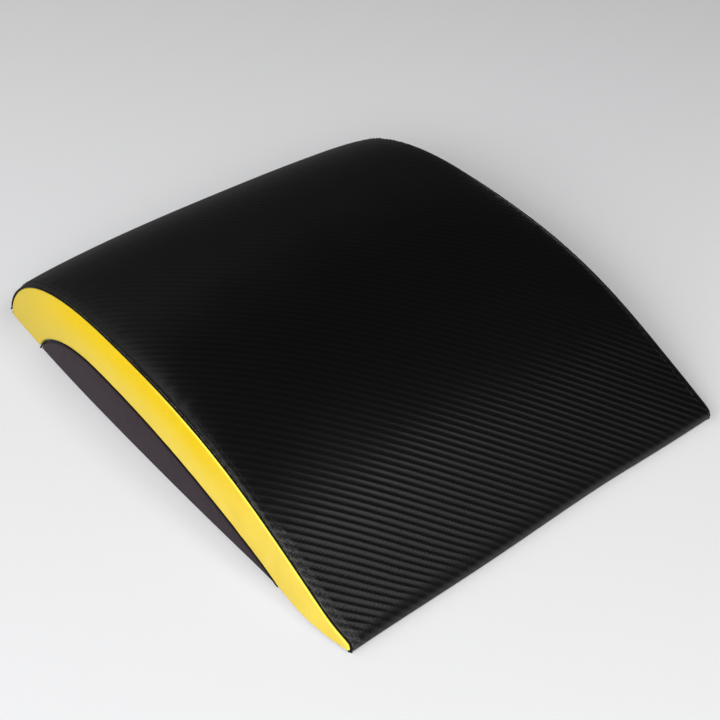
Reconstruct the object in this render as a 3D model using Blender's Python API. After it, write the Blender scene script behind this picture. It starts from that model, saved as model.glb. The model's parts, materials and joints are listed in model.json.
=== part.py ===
"""An ab mat: a foam wedge in a sewn vinyl cover, with crescent side panels and piped seams.

Metres, +Z up. X is the width, Y runs from the thin front edge to the round back, and the
origin is at the middle of the underside.
"""
import math

import bmesh
import bpy
import numpy as np
from mathutils import Vector
from mathutils.geometry import interpolate_bezier

# Overall sizes.
mat_width = 0.300           # across, from side seam to side seam
mat_length = 0.380
side_height = 0.070         # crest of the side seams over the floor
crown_height = 0.0124       # how far the middle of the top stands over the side seams
crest_distance = 0.243      # from the front edge to the crest

# The side outline's front nose and back foot.
nose_depth = 0.010
nose_height = 0.012
slope_angle = math.radians(26.5)
back_foot_height = 0.0067
nose_handle_shares = (0.45, 0.60)      # of the nose's rise, and of its depth
slope_handle_shares = (0.378, 0.506)   # of the distance from the nose to the crest
back_handle_shares = (0.827, 0.08)     # of the distance behind the crest, and of the drop

# The sides swell outwards: the bow of the base edge, and the puff halfway up.
side_bow = 0.0038
side_puff = 0.0022

# Sheets, hems and seams.
cover_thickness = 0.0012
base_thickness = 0.0016
clearance = 0.0003          # between pieces that touch
edge_radius = 0.0025        # where the covers turn under
hem_width = 0.010
piping_diameter = 0.0018
base_inset = 0.0035         # how far the base sheet stays inside the mat's outline
base_corner_radius = 0.006

# The charcoal insert's arc, as distances from the front edge and heights over the floor.
arc_front = 0.059
arc_crest = 0.250
arc_height = 0.0375
arc_back_margin = 0.045     # from the arc's back end to the mat's back
arc_front_handle_shares = (0.356, 0.80)     # of the run to the crest, and of the arc's height
arc_crest_handle_shares = (0.314, 0.53)     # of the run before the crest, and of the run after
arc_back_handle_shares = (0.106, 0.427)     # of the run after the crest, and of the arc's height

# Stitched rows, each one thread.
thread_diameter = 0.0005
top_stitch_inset = 0.0045   # from the side seam to the row
base_stitch_inset = 0.005   # from the base sheet's edge to the row
groove_width = 0.0016       # the channel round the base that its row sinks into
groove_depth = 0.0009

# How finely the shapes are divided.
nose_steps = 5
slope_steps = 14
back_steps = 12
cover_columns = 12
foam_columns = 12
wall_rows = 5
curl_steps = 3
arc_steps = 13
base_side_steps = 16
base_end_steps = 6
base_corner_steps = 4
cut_overrun = 0.004
merge_distance = 0.000001

# Places worked out from the sizes above.
piping_radius = piping_diameter / 2
thread_radius = thread_diameter / 2
front_y = -mat_length / 2
hem_level = base_thickness + clearance
curl_level = hem_level + edge_radius
foam_depth = cover_thickness + clearance
piping_room = piping_radius + clearance
corner_depth = foam_depth - piping_room / math.sqrt(2)
seam_inset = corner_depth + piping_room
flush_depth = cover_thickness - piping_radius


def bezier(start, first, second, end, steps):
    """Points of one curve, its end left out for the next curve to give."""
    return interpolate_bezier(start, first, second, end, steps + 1)[:-1]


def side_outline():
    """The side seam from the front curl over the crest to the back curl, as (y, z)."""
    front = Vector((front_y, curl_level))
    nose = Vector((front_y + nose_depth, nose_height))
    crest = Vector((front_y + crest_distance, side_height))
    foot = Vector((front_y + mat_length, back_foot_height))
    end = Vector((foot.x, curl_level))
    slope = Vector((math.cos(slope_angle), math.sin(slope_angle)))
    run = crest.x - nose.x
    points = bezier(
        front,
        front + Vector((0, (nose.y - front.y) * nose_handle_shares[0])),
        nose - slope * nose_depth * nose_handle_shares[1],
        nose,
        nose_steps,
    )
    points += bezier(
        nose,
        nose + slope * run * slope_handle_shares[0],
        crest - Vector((run * slope_handle_shares[1], 0)),
        crest,
        slope_steps,
    )
    points += bezier(
        crest,
        crest + Vector(((foot.x - crest.x) * back_handle_shares[0], 0)),
        foot + Vector((0, (crest.y - foot.y) * back_handle_shares[1])),
        foot,
        back_steps,
    )
    return points + [foot, end]


def outward_normals(points):
    """Normals of an open (y, z) line, pointing out of the mat."""
    normals = []
    for i in range(len(points)):
        before = points[max(i - 1, 0)]
        after = points[min(i + 1, len(points) - 1)]
        along = (after - before).normalized()
        normals.append(Vector((-along.y, along.x)))
    normals[0] = Vector((-1, 0))
    normals[-1] = Vector((1, 0))
    return normals


outline = side_outline()
normals = outward_normals(outline)


def moved_in(distance):
    """The side outline moved into the mat."""
    return [point - normal * distance for point, normal in zip(outline, normals)]


sheet_edge = moved_in(seam_inset)


def bulge(top, rise):
    """How far the side swells, from the seam's height there and the rise from 0 to 1."""
    swell = ((top - curl_level) / (side_height - curl_level)) ** 2
    return swell * (side_bow * (1 - rise) + side_puff * 4 * rise * (1 - rise))


def side_x(y, z):
    """How far the side's outer face stands from the middle plane at a place on it."""
    places = [point.x for point in sheet_edge]
    edge = float(np.interp(y, places, [point.y for point in sheet_edge]))
    top = float(np.interp(y, places, [point.y for point in outline]))
    rise = (z - curl_level) / max(edge - curl_level, merge_distance)
    return mat_width / 2 + bulge(top, min(max(rise, 0), 1))


def curl_angles(steps):
    return [math.pi / 2 * (k + 1) / steps for k in range(steps)]


def top_rows(depth, edge, steps, stations, foam=False):
    """Rows of points across the top, from the front hem over the crest to the back hem."""
    rows = []

    def row(y, z, inset, normal, lift):
        half = mat_width / 2 - edge - inset
        points = []
        for share in stations:
            crown = lift * math.sqrt(1 - share * share)
            points.append(Vector((share * half, y + normal.x * crown, z + normal.y * crown)))
        return points

    def turned_under(y_edge, inward):
        """The curl and the hem at one end, from the curl's start to the hem's free edge."""
        rows = []
        flat = Vector((0, 0))
        radius = edge_radius - depth
        for angle in curl_angles(steps):
            inset = edge_radius - radius * math.cos(angle)
            z = curl_level - radius * math.sin(angle)
            rows.append(row(y_edge + inward * inset, z, inset - depth, flat, 0))
        inset = edge_radius + hem_width
        if foam:
            inset += clearance
        rows.append(row(y_edge + inward * inset, hem_level + depth, inset - depth, flat, 0))
        if foam:
            rows.append(row(y_edge + inward * inset, hem_level, inset - depth, flat, 0))
        return rows

    rows += reversed(turned_under(front_y, 1))
    for point, normal in zip(outline, normals):
        lift = crown_height * (point.y - curl_level) / (side_height - curl_level)
        place = point - normal * depth
        rows.append(row(place.x, place.y, 0, normal, lift))
    rows += turned_under(front_y + mat_length, -1)
    return rows


def side_rows(side, depth, edge, steps, foam=False):
    """Rows of points along one side, from the top seam down and round to the hem's free edge."""
    columns = moved_in(edge)
    tops = [point.y for point in outline]
    rows = []
    for k in range(wall_rows + 1):
        rise = 1 - k / wall_rows
        points = []
        for column, top in zip(columns, tops):
            x = mat_width / 2 + bulge(top, rise) - depth
            points.append(Vector((side * x, column.x, curl_level + rise * (column.y - curl_level))))
        rows.append(points)

    half = mat_length / 2 - edge

    def lower_row(inset, z):
        points = []
        for column, top in zip(columns, tops):
            x = mat_width / 2 + bulge(top, 0) - inset
            points.append(Vector((side * x, column.x * (half - inset + depth) / half, z)))
        return points

    radius = edge_radius - depth
    for angle in curl_angles(steps):
        inset = edge_radius - radius * math.cos(angle)
        rows.append(lower_row(inset, curl_level - radius * math.sin(angle)))
    inset = edge_radius + hem_width
    if foam:
        inset += clearance
    rows.append(lower_row(inset, hem_level + depth))
    if foam:
        rows.append(lower_row(inset, hem_level))
    return rows


def add_grid(bm, rows):
    """Quads between rows of points. Returns the rows of vertices."""
    grid = [[bm.verts.new(point) for point in row] for row in rows]
    for near, far in zip(grid, grid[1:]):
        for i in range(len(near) - 1):
            bm.faces.new((near[i], near[i + 1], far[i + 1], far[i]))
    return grid


def border(grid):
    """The vertices round a grid's edge, in order."""
    first, last = grid[0], grid[-1]
    right = [row[-1] for row in grid[1:-1]]
    left = [row[0] for row in grid[1:-1]]
    return first + right + last[::-1] + left[::-1]


def bridge(bm, one, other):
    for i in range(len(one)):
        j = (i + 1) % len(one)
        bm.faces.new((one[i], one[j], other[j], other[i]))


def tidy(bm):
    """Joins coinciding points, drops what that flattens, and points the faces out."""
    bmesh.ops.remove_doubles(bm, verts=bm.verts, dist=merge_distance)
    bmesh.ops.dissolve_degenerate(bm, edges=bm.edges, dist=merge_distance)
    bmesh.ops.recalc_face_normals(bm, faces=bm.faces)


def material(name, colour, roughness, metallic=0.0):
    made = bpy.data.materials.new(name)
    made.use_nodes = True
    shader = made.node_tree.nodes["Principled BSDF"]
    shader.inputs["Base Color"].default_value = (*colour, 1.0)
    shader.inputs["Roughness"].default_value = roughness
    shader.inputs["Metallic"].default_value = metallic
    return made


def add_object(name, data, finish):
    thing = bpy.data.objects.new(name, data)
    data.materials.append(finish)
    bpy.context.scene.collection.objects.link(thing)
    return thing


def mesh_object(name, bm, finish):
    mesh = bpy.data.meshes.new(name)
    bm.to_mesh(mesh)
    bm.free()
    return add_object(name, mesh, finish)


def stations(columns):
    return [2 * i / columns - 1 for i in range(columns + 1)]


def shell(outer_rows, inner_rows):
    """A closed sheet between two grids of the same size."""
    bm = bmesh.new()
    outer = add_grid(bm, outer_rows)
    inner = add_grid(bm, inner_rows)
    bridge(bm, border(outer), border(inner))
    tidy(bm)
    return bm


def make_top_cover(finish):
    across = stations(cover_columns)
    bm = shell(
        top_rows(0, seam_inset, curl_steps, across),
        top_rows(cover_thickness, seam_inset, curl_steps, across),
    )
    cover = mesh_object("top_cover", bm, finish)
    cover.data.shade_smooth()
    cover.data.set_sharp_from_angle(angle=math.radians(40))
    return cover


def make_foam_core(finish):
    """The foam block: a step under its edge leaves room for the hems."""
    bm = bmesh.new()
    add_grid(bm, top_rows(foam_depth, foam_depth, 1, stations(foam_columns), foam=True))
    for side in (-1, 1):
        add_grid(bm, side_rows(side, foam_depth, foam_depth, 1, foam=True))
    bmesh.ops.remove_doubles(bm, verts=bm.verts, dist=merge_distance)
    open_edges = [edge for edge in bm.edges if edge.is_boundary]
    bmesh.ops.holes_fill(bm, edges=open_edges, sides=0)
    tidy(bm)
    return mesh_object("foam_core", bm, finish)


def arc_curve(offset):
    """The insert's arc as (y, z), from its front end to its back end, moved out by an offset."""
    start = Vector((front_y + arc_front, 0))
    crest = Vector((front_y + arc_crest, arc_height))
    end = Vector((front_y + mat_length - arc_back_margin, 0))
    rise = crest.x - start.x
    fall = end.x - crest.x
    points = bezier(
        start,
        start + Vector((rise * arc_front_handle_shares[0], arc_height * arc_front_handle_shares[1])),
        crest - Vector((rise * arc_crest_handle_shares[0], 0)),
        crest,
        arc_steps,
    )
    points += bezier(
        crest,
        crest + Vector((fall * arc_crest_handle_shares[1], 0)),
        end + Vector((-fall * arc_back_handle_shares[0], arc_height * arc_back_handle_shares[1])),
        end,
        arc_steps,
    )
    points.append(end)
    moved = []
    for i, point in enumerate(points):
        along = (points[min(i + 1, len(points) - 1)] - points[max(i - 1, 0)]).normalized()
        moved.append(point + Vector((-along.y, along.x)) * offset)
    return moved


def make_arc_cutter(name, offset):
    """A bar across the mat with the arc's outline, which runs on below the floor."""
    line = arc_curve(offset)
    first = line[0] + (line[0] - line[1]).normalized() * cut_overrun
    last = line[-1] + (line[-1] - line[-2]).normalized() * cut_overrun
    low = -cut_overrun * 2
    outline_points = [Vector((first.x, low)), first] + line + [last, Vector((last.x, low))]
    reach = mat_width / 2 + side_bow + side_puff + cut_overrun
    bm = bmesh.new()
    ends = [[bm.verts.new((x, p.x, p.y)) for p in outline_points] for x in (-reach, reach)]
    bridge(bm, ends[0], ends[1])
    bm.faces.new(ends[0])
    bm.faces.new(ends[1])
    tidy(bm)
    mesh = bpy.data.meshes.new(name)
    bm.to_mesh(mesh)
    bm.free()
    cutter = bpy.data.objects.new(name, mesh)
    bpy.context.scene.collection.objects.link(cutter)
    cutter.hide_render = True
    cutter.display_type = "WIRE"
    return cutter


def make_side_piece(name, side, finish, cutter, operation):
    """The whole side sheet, kept outside or inside the arc."""
    bm = shell(
        side_rows(side, 0, seam_inset, curl_steps),
        side_rows(side, cover_thickness, seam_inset, curl_steps),
    )
    piece = mesh_object(name, bm, finish)
    cut = piece.modifiers.new("arc", "BOOLEAN")
    cut.operation = operation
    cut.solver = "EXACT"
    cut.object = cutter
    return piece


def make_cord(name, path, radius, roundness, finish, closed=False):
    """A round piping or thread along a line of points."""
    curve = bpy.data.curves.new(name, "CURVE")
    curve.dimensions = "3D"
    curve.bevel_depth = radius
    curve.bevel_resolution = roundness
    curve.use_fill_caps = not closed
    spline = curve.splines.new("POLY")
    spline.points.add(len(path) - 1)
    for point, place in zip(spline.points, path):
        point.co = (*place, 1)
    spline.use_cyclic_u = closed
    return add_object(name, curve, finish)


def top_piping_path(side):
    """Along the corner between the top and a side, down to the hems at both ends."""
    x = side * (mat_width / 2 - corner_depth)
    line = moved_in(corner_depth)
    path = [Vector((x, point.x, point.y)) for point in line]
    low = hem_level
    return [Vector((x, line[0].x, low))] + path + [Vector((x, line[-1].x, low))]


def above(line, level):
    """The part of an arc that lies over a level, with its ends on the level."""
    kept = []
    for near, far in zip(line, line[1:]):
        if (near.y < level) != (far.y < level):
            kept.append(near.lerp(far, (level - near.y) / (far.y - near.y)))
        if far.y >= level:
            kept.append(far)
    if line[0].y >= level:
        kept.insert(0, line[0])
    return kept


def insert_piping_path(side):
    """Along the arc, sunk until it rests on the foam, with both ends just over the hems."""
    path = []
    for point in above(arc_curve(0), hem_level + piping_radius):
        x = side_x(point.x, max(point.y, curl_level)) - flush_depth
        path.append(Vector((side * x, point.x, point.y)))
    return path


def top_thread_path(side):
    """Along one row of stitches on the top cover, just inside a side seam."""
    rows = top_rows(0, seam_inset, curl_steps, stations(cover_columns))
    rows = rows[curl_steps + 1:-curl_steps - 1]
    edge, inner = (0, 1) if side < 0 else (-1, -2)
    column_width = (mat_width - 2 * seam_inset) / cover_columns
    share = (top_stitch_inset - seam_inset) / column_width
    lift = thread_radius + clearance
    path = []
    for row, normal in zip(rows, normals):
        path.append(row[edge].lerp(row[inner], share) + Vector((0, normal.x, normal.y)) * lift)
    return path[nose_steps:-1]


def base_ring(inset, z):
    """The base sheet's outline with round corners and bowed sides, moved in by an inset."""
    half_x = mat_width / 2 - base_inset - inset
    half_y = mat_length / 2 - base_inset - inset
    radius = max(base_corner_radius - inset, groove_width)
    points = []

    def side(sign, backwards):
        reach = half_y - radius
        for i in range(base_side_steps + 1):
            y = reach * (2 * i / base_side_steps - 1)
            if backwards:
                y = -y
            bow = side_x(y, curl_level) - mat_width / 2
            points.append(Vector((sign * (half_x + bow), y, z)))

    def corner(sign_x, sign_y, start):
        bow = side_x(sign_y * (half_y - radius), curl_level) - mat_width / 2
        centre = Vector((sign_x * (half_x + bow - radius), sign_y * (half_y - radius), z))
        for i in range(1, base_corner_steps):
            angle = math.radians(start) + math.pi / 2 * i / base_corner_steps
            points.append(centre + Vector((math.cos(angle), math.sin(angle), 0)) * radius)

    def end(sign):
        reach = half_x - radius
        for i in range(base_end_steps + 1):
            x = reach * (2 * i / base_end_steps - 1)
            points.append(Vector((-sign * x, sign * half_y, z)))

    side(1, False)
    corner(1, 1, 0)
    end(1)
    corner(-1, 1, 90)
    side(-1, True)
    corner(-1, -1, 180)
    end(-1)
    corner(1, -1, 270)
    return points


def make_base_cover(finish):
    """A flat sheet with a shallow channel round its underside for the stitches."""
    outer = base_stitch_inset - groove_width / 2
    inner = base_stitch_inset + groove_width / 2
    levels = [
        (0, base_thickness), (0, 0), (outer, 0), (outer, groove_depth),
        (inner, groove_depth), (inner, 0),
    ]
    bm = bmesh.new()
    rings = [[bm.verts.new(point) for point in base_ring(*level)] for level in levels]
    for ring, following in zip(rings, rings[1:]):
        bridge(bm, ring, following)
    bm.faces.new(rings[0])
    bm.faces.new(rings[-1])
    tidy(bm)
    return mesh_object("base_cover", bm, finish)


def base_thread_path():
    """Round the base sheet, inside its channel."""
    path = base_ring(base_stitch_inset, groove_depth - clearance - thread_radius)
    return [point for i, point in enumerate(path) if (point - path[i - 1]).length > merge_distance]


def main():
    for thing in list(bpy.data.objects):
        bpy.data.objects.remove(thing, do_unlink=True)

    make_foam_core(material("foam", (0.62, 0.60, 0.55), 0.95))
    make_top_cover(material("embossed black vinyl", (0.010, 0.010, 0.011), 0.42))
    make_base_cover(material("black base vinyl", (0.014, 0.014, 0.015), 0.6))
    base_thread = material("base thread", (0.02, 0.02, 0.02), 0.7)
    make_cord("base_stitching", base_thread_path(), thread_radius, 1, base_thread, closed=True)
    outer_cutter = make_arc_cutter("arc_cutter_outer", piping_room)
    inner_cutter = make_arc_cutter("arc_cutter_inner", -piping_room)
    for side, word in ((-1, "left"), (1, "right")):
        yellow = material("yellow vinyl " + word, (0.78, 0.56, 0.03), 0.5)
        charcoal = material("charcoal vinyl " + word, (0.055, 0.047, 0.055), 0.6)
        piping = material("black piping " + word, (0.008, 0.008, 0.009), 0.4)
        thread = material("black thread " + word, (0.02, 0.02, 0.022), 0.6)
        make_side_piece("side_panel_" + word, side, yellow, outer_cutter, "DIFFERENCE")
        make_side_piece("side_insert_" + word, side, charcoal, inner_cutter, "INTERSECT")
        make_cord("top_piping_" + word, top_piping_path(side), piping_radius, 2, piping)
        make_cord("insert_piping_" + word, insert_piping_path(side), piping_radius, 2, piping)
        make_cord("top_stitching_" + word, top_thread_path(side), thread_radius, 1, thread)


main()
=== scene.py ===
import json
import math
import random

import bpy
import numpy as np
from mathutils import Matrix, Vector
from mathutils.geometry import interpolate_bezier

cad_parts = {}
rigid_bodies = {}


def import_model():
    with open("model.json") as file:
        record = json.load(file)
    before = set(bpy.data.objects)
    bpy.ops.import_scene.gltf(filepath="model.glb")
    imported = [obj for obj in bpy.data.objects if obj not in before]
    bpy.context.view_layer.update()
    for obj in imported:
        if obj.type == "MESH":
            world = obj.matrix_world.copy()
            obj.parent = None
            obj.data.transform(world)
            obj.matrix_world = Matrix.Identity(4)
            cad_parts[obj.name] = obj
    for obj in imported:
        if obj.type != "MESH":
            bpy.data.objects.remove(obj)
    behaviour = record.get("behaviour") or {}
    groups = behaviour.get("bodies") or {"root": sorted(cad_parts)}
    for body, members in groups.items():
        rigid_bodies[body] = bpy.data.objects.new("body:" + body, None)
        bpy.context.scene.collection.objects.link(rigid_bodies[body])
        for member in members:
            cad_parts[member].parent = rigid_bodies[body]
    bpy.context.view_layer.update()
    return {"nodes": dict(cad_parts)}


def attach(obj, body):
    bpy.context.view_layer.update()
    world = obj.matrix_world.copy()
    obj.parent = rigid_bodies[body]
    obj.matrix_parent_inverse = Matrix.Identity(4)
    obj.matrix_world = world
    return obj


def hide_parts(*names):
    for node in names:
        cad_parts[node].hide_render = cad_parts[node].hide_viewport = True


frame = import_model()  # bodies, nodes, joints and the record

# An ab mat: a foam wedge in a sewn cover. X is the width, the thin edge is at -Y, metres.

shape = {
    "width": 0.300, "length": 0.380,  # between the side seams, and front to back
    "sideHeight": 0.070, "crestDistance": 0.243,  # the side seam's crest, and how far back it lies
    "noseDepth": 0.010, "noseHeight": 0.012, "slopeAngle": 26.5, "footHeight": 0.0067,
    "noseShares": (0.45, 0.60), "slopeShares": (0.378, 0.506), "backShares": (0.827, 0.08),
    "sideBow": 0.0038, "sidePuff": 0.0022,
    "cornerPull": (0.0025, 0.0006),  # the front corners are drawn in, the left one more
    "cornerReach": 0.022, "cornerSpread": 1.5,
    "frontBow": 0.0015, "bowPower": 4,  # and they run out
    "edgeBow": (0.00045, 0.00145, 0.0010),  # the thin edge is a little wavy: all of it, and two lobes
    "edgeLobes": ((-0.40, 0.75), (0.75, 0.45)),  # their middles and half lengths, in half widths
    "edgeReach": 0.060,
    "footPuff": 0.0024, "footMiddle": 0.034, "footReach": 0.022,  # the panel swells near its front foot
    "hemLevel": 0.0019, "hemWidth": 0.010, "curlRadius": 0.0015,
    "startLevel": 0.0044, "rest": 0.0004,  # where the front's curve starts, and the sheets' lowest line
    "tuck": 0.0009,  # how far in the hem turns up
    "seamGap": 0.00140,  # from the corner to each sheet's edge, beside the piping
    "pipingRadius": 0.00065, "pipingDepth": 0.00068,
}
halfWidth = shape["width"] / 2
halfLength = shape["length"] / 2
startLevel = shape["startLevel"]
curlLevel = shape["rest"] + shape["curlRadius"]
touching = 0.0002  # nearer to a line than this counts as on it


def alone(piece):  # only this piece selected and active
    bpy.ops.object.select_all(action="DESELECT")
    piece.select_set(True)
    bpy.context.view_layer.objects.active = piece
    return piece


def added(name):  # names what an add operator has just made
    piece = bpy.context.object
    piece.name = piece.data.name = name
    return piece


def points(piece):
    found = np.empty(len(piece.data.vertices) * 3)
    piece.data.vertices.foreach_get("co", found)
    return found.reshape(-1, 3)


def setPoints(piece, places):
    piece.data.vertices.foreach_set("co", np.asarray(places, float).ravel())
    piece.data.update()


def normals(piece):
    found = np.empty(len(piece.data.vertices) * 3)
    piece.data.vertex_normals.foreach_get("vector", found)
    return found.reshape(-1, 3)


def applied(piece, kind, **settings):  # adds a modifier and applies it
    alone(piece)
    modifier = piece.modifiers.new(kind.lower(), kind)
    for key, value in settings.items():
        setattr(modifier, key, value)
    bpy.ops.object.modifier_apply(modifier=modifier.name)
    return piece


def editing(piece, mode="VERT"):
    alone(piece)
    bpy.ops.object.mode_set(mode="EDIT")
    bpy.ops.mesh.select_mode(type=mode)
    bpy.ops.mesh.select_all(action="DESELECT")


def pick(piece, kind, test):  # selects vertices, edges or faces that pass a test
    bpy.ops.mesh.select_all(action="DESELECT")
    bpy.ops.object.mode_set(mode="OBJECT")
    for item in getattr(piece.data, kind):
        if test(item):
            item.select = True
            for index in getattr(item, "vertices", []):
                piece.data.vertices[index].select = True
    bpy.ops.object.mode_set(mode="EDIT")


def smooth(piece, angle=50):
    alone(piece)
    bpy.ops.object.shade_smooth_by_angle(angle=math.radians(angle))
    return piece


def joined(name, pieces):
    bpy.ops.object.select_all(action="DESELECT")
    for piece in pieces:
        piece.select_set(True)
    bpy.context.view_layer.objects.active = pieces[0]
    if len(pieces) > 1:
        bpy.ops.object.join()
    return added(name)


# Shader maths: a Wire is a socket that can be used in sums.

class Wire:
    def __init__(self, finish, socket):
        self.finish = finish
        self.socket = socket

    def math(self, operation, *values):
        return self.finish.node("ShaderNodeMath", {"operation": operation}, dict(enumerate((self, *values))))

    def __add__(self, other):
        return self.math("ADD", other)

    def __sub__(self, other):
        return self.math("SUBTRACT", other)

    def __rsub__(self, other):
        return self.finish.node("ShaderNodeMath", {"operation": "SUBTRACT"}, {0: other, 1: self})

    def __mul__(self, other):
        return self.math("MULTIPLY", other)

    def __truediv__(self, other):
        return self.math("DIVIDE", other)

    def __pow__(self, other):
        return self.math("POWER", other)

    def __mod__(self, other):
        return self.math("FLOORED_MODULO", other)

    def __lt__(self, other):
        return self.math("LESS_THAN", other)

    def __abs__(self):
        return self.math("ABSOLUTE")

    def floor(self):
        return self.math("FLOOR")

    __radd__ = __add__
    __rmul__ = __mul__


class Finish:  # a node material
    def __init__(self, name):
        self.material = bpy.data.materials.new(name)
        self.material.use_nodes = True
        self.tree = self.material.node_tree
        self.shader = self.tree.nodes["Principled BSDF"]

    def put(self, socket, value):
        if isinstance(value, Wire):
            self.tree.links.new(value.socket, socket)
        elif isinstance(value, tuple) and len(value) == 3 and socket.type == "RGBA":
            socket.default_value = (*value, 1.0)
        else:
            socket.default_value = value

    def node(self, kind, settings=None, values=None, output=0):
        made = self.tree.nodes.new(kind)
        for key, value in (settings or {}).items():
            setattr(made, key, value)
        for key, value in (values or {}).items():
            self.put(made.inputs[key], value)
        return Wire(self, made.outputs[output])

    def mix(self, share, first, second):  # of colours
        return self.node("ShaderNodeMix", {"data_type": "RGBA"}, {0: share, 6: first, 7: second}, 2)

    def span(self, value, low, high, start=0.0, end=1.0):
        values = {"Value": value, "From Min": low, "From Max": high, "To Min": start, "To Max": end}
        return self.node("ShaderNodeMapRange", {"interpolation_type": "SMOOTHSTEP"}, values)

    def noise(self, scale, detail=2.0, roughness=0.5, where=None):
        where = where or self.place()
        return self.node("ShaderNodeTexNoise", {}, {"Vector": where, "Scale": scale, "Detail": detail,
                                                   "Roughness": roughness})

    def place(self):
        return self.node("ShaderNodeTexCoord", output="Object")

    def parts(self, vector):  # x, y and z of a vector
        split = self.node("ShaderNodeSeparateXYZ", {}, {0: vector}).socket.node
        return [Wire(self, socket) for socket in split.outputs]

    def set(self, **values):  # the shader's sockets, with spaces left out of their names
        sockets = {socket.name.replace(" ", ""): socket for socket in self.shader.inputs}
        for key, value in values.items():
            self.put(sockets[key], value)
        return self.material

    def bump(self, height, distance, strength=1.0):
        return self.node("ShaderNodeBump", {}, {"Height": height, "Distance": distance, "Strength": strength})


visualPieces = set()


def wear(piece, material, nodes, body="root"):
    visualPieces.add(piece.name)
    piece.data.materials.clear()
    piece.data.materials.append(material)
    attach(piece, body)
    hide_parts(*nodes)
    return piece


# The finishes.

embossed = {
    "tow": 0.0016,  # width of one woven tow
    "relief": 0.00024, "towShare": 0.50, "lowShare": 0.45,
    # the rib crests are painted lighter than the grooves: painted highlight on the crests, painted shade in
    # the grooves
    "colour": (0.0012, 0.0011, 0.0013), "rib": (0.0024, 0.0022, 0.0023),
    "roughness": 0.33, "wornRoughness": 0.58, "specular": 0.25, "unevenGloss": 0.06,
    "fade": (0.068, 0.114), "flattened": 0.70,  # from the thin edge: the ribs are stretched flat
    "rubbed": (0.20, 0.29),  # and the crest is rubbed matt
    "patchScale": 18, "patchDrift": 0.04,  # how unevenly both begin
    "grainScale": 2600, "grainShare": 0.02,
    "strained": (0.1418, 0.1448),  # a strip beside the left seam where the ribs get a painted highlight
    "strainedRibs": (0.45, 0.95),  # where its ribs still stand
    # the ribs in that strip are painted lighter: a painted highlight
    "worn": (0.026, 0.025, 0.025),
    # light specks in that strip: painted glints, which also stand up as small bumps
    "speck": (0.070, 0.068, 0.068), "speckScale": 1100, "speckSpan": (0.50, 0.66), "speckShare": 0.7,
}


def embossedVinyl():
    finish = Finish("embossed_vinyl_finish")
    cut = finish.parts(finish.node("ShaderNodeUVMap", {"uv_map": "cut"}))
    across = cut[0] / embossed["tow"]
    along = cut[1] / embossed["tow"]
    column = across.floor()
    row = along.floor()
    inColumn = across - column
    inRow = along - row
    phase = (column + row) % 4  # a 2 by 2 twill: its ribs run at 45 degrees
    up = phase < 1.5
    lengthways = (phase + inRow) / 2
    crossways = (phase - 2 + inColumn) / 2
    upTow = (1 - (inColumn * 2 - 1) ** 2) ** 0.5 * (1 - abs(lengthways * 2 - 1) ** 3)
    lowTow = (1 - (inRow * 2 - 1) ** 2) ** 0.5 * (1 - abs(crossways * 2 - 1) ** 3)
    tows = up * upTow + (1 - up) * lowTow * embossed["lowShare"]
    ridge = ((across + along - 1.5) * (math.pi / 2)).math("COSINE") * 0.5 + 0.5
    grain = finish.noise(embossed["grainScale"], 2)
    patches = finish.noise(embossed["patchScale"], 3)
    far = cut[1] + (patches - 0.5) * embossed["patchDrift"]
    flat = finish.span(far, *embossed["fade"], 1.0, 1 - embossed["flattened"])
    strained = finish.span(cut[0] * -1, *embossed["strained"])
    strained = strained * finish.span(flat, *embossed["strainedRibs"])
    glintSpecks = finish.span(finish.noise(embossed["speckScale"], 2, 0.7), *embossed["speckSpan"]) * strained
    # painted highlight on the rib crests, painted shade in the grooves between them
    colour = finish.mix(ridge, embossed["colour"], embossed["rib"])
    # painted highlight on the ribs of the strip beside the left seam
    colour = finish.mix(ridge * strained, colour, embossed["worn"])
    relief = (ridge + tows * embossed["towShare"]) * flat
    relief = relief + grain * embossed["grainShare"] + glintSpecks * embossed["speckShare"]
    rubbed = finish.span(far, *embossed["rubbed"], 0.0, embossed["wornRoughness"] - embossed["roughness"])
    uneven = embossed["unevenGloss"]
    return finish.set(
        # painted glints in the strip beside the left seam
        BaseColor=finish.mix(glintSpecks, colour, embossed["speck"]),
        Roughness=rubbed + embossed["roughness"] + (patches - 0.5) * uneven + (1 - tows) * uneven,
        SpecularIORLevel=embossed["specular"],
        Normal=finish.bump(relief, embossed["relief"]),
    )


yellow = {
    "name": "yellow_vinyl", "colour": (0.74, 0.570, 0.080), "shade": (0.70, 0.520, 0.066),
    "aged": (0.61, 0.460, 0.050), "agedSpan": (-0.12, 0.19),  # painted shade: darker towards the back
    "crown": (0.71, 0.485, 0.0001), "crownSpan": (0.10, 0.85),  # painted light: the upper half is painted a deeper yellow, the rest paler as in the floor's reflected glow, and a painted highlight runs along its edge in the seam, most of all towards the front
    "rim": (0.95, 0.86, 0.10), "rimSpan": (0.0008, 0.0019),  # and its edge in the seam is lighter,
    "rimFade": (-0.06, 0.02, 0.9, 0.1),  # most of all towards the front
    "roughness": 0.42, "grain": 0.00005, "specular": 0.04,
}
charcoal = {
    "name": "charcoal_vinyl", "colour": (0.028, 0.018, 0.024), "shade": (0.024, 0.015, 0.020),
    "roughness": 0.55, "grain": 0.00007, "specular": 0.09,
}


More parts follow.
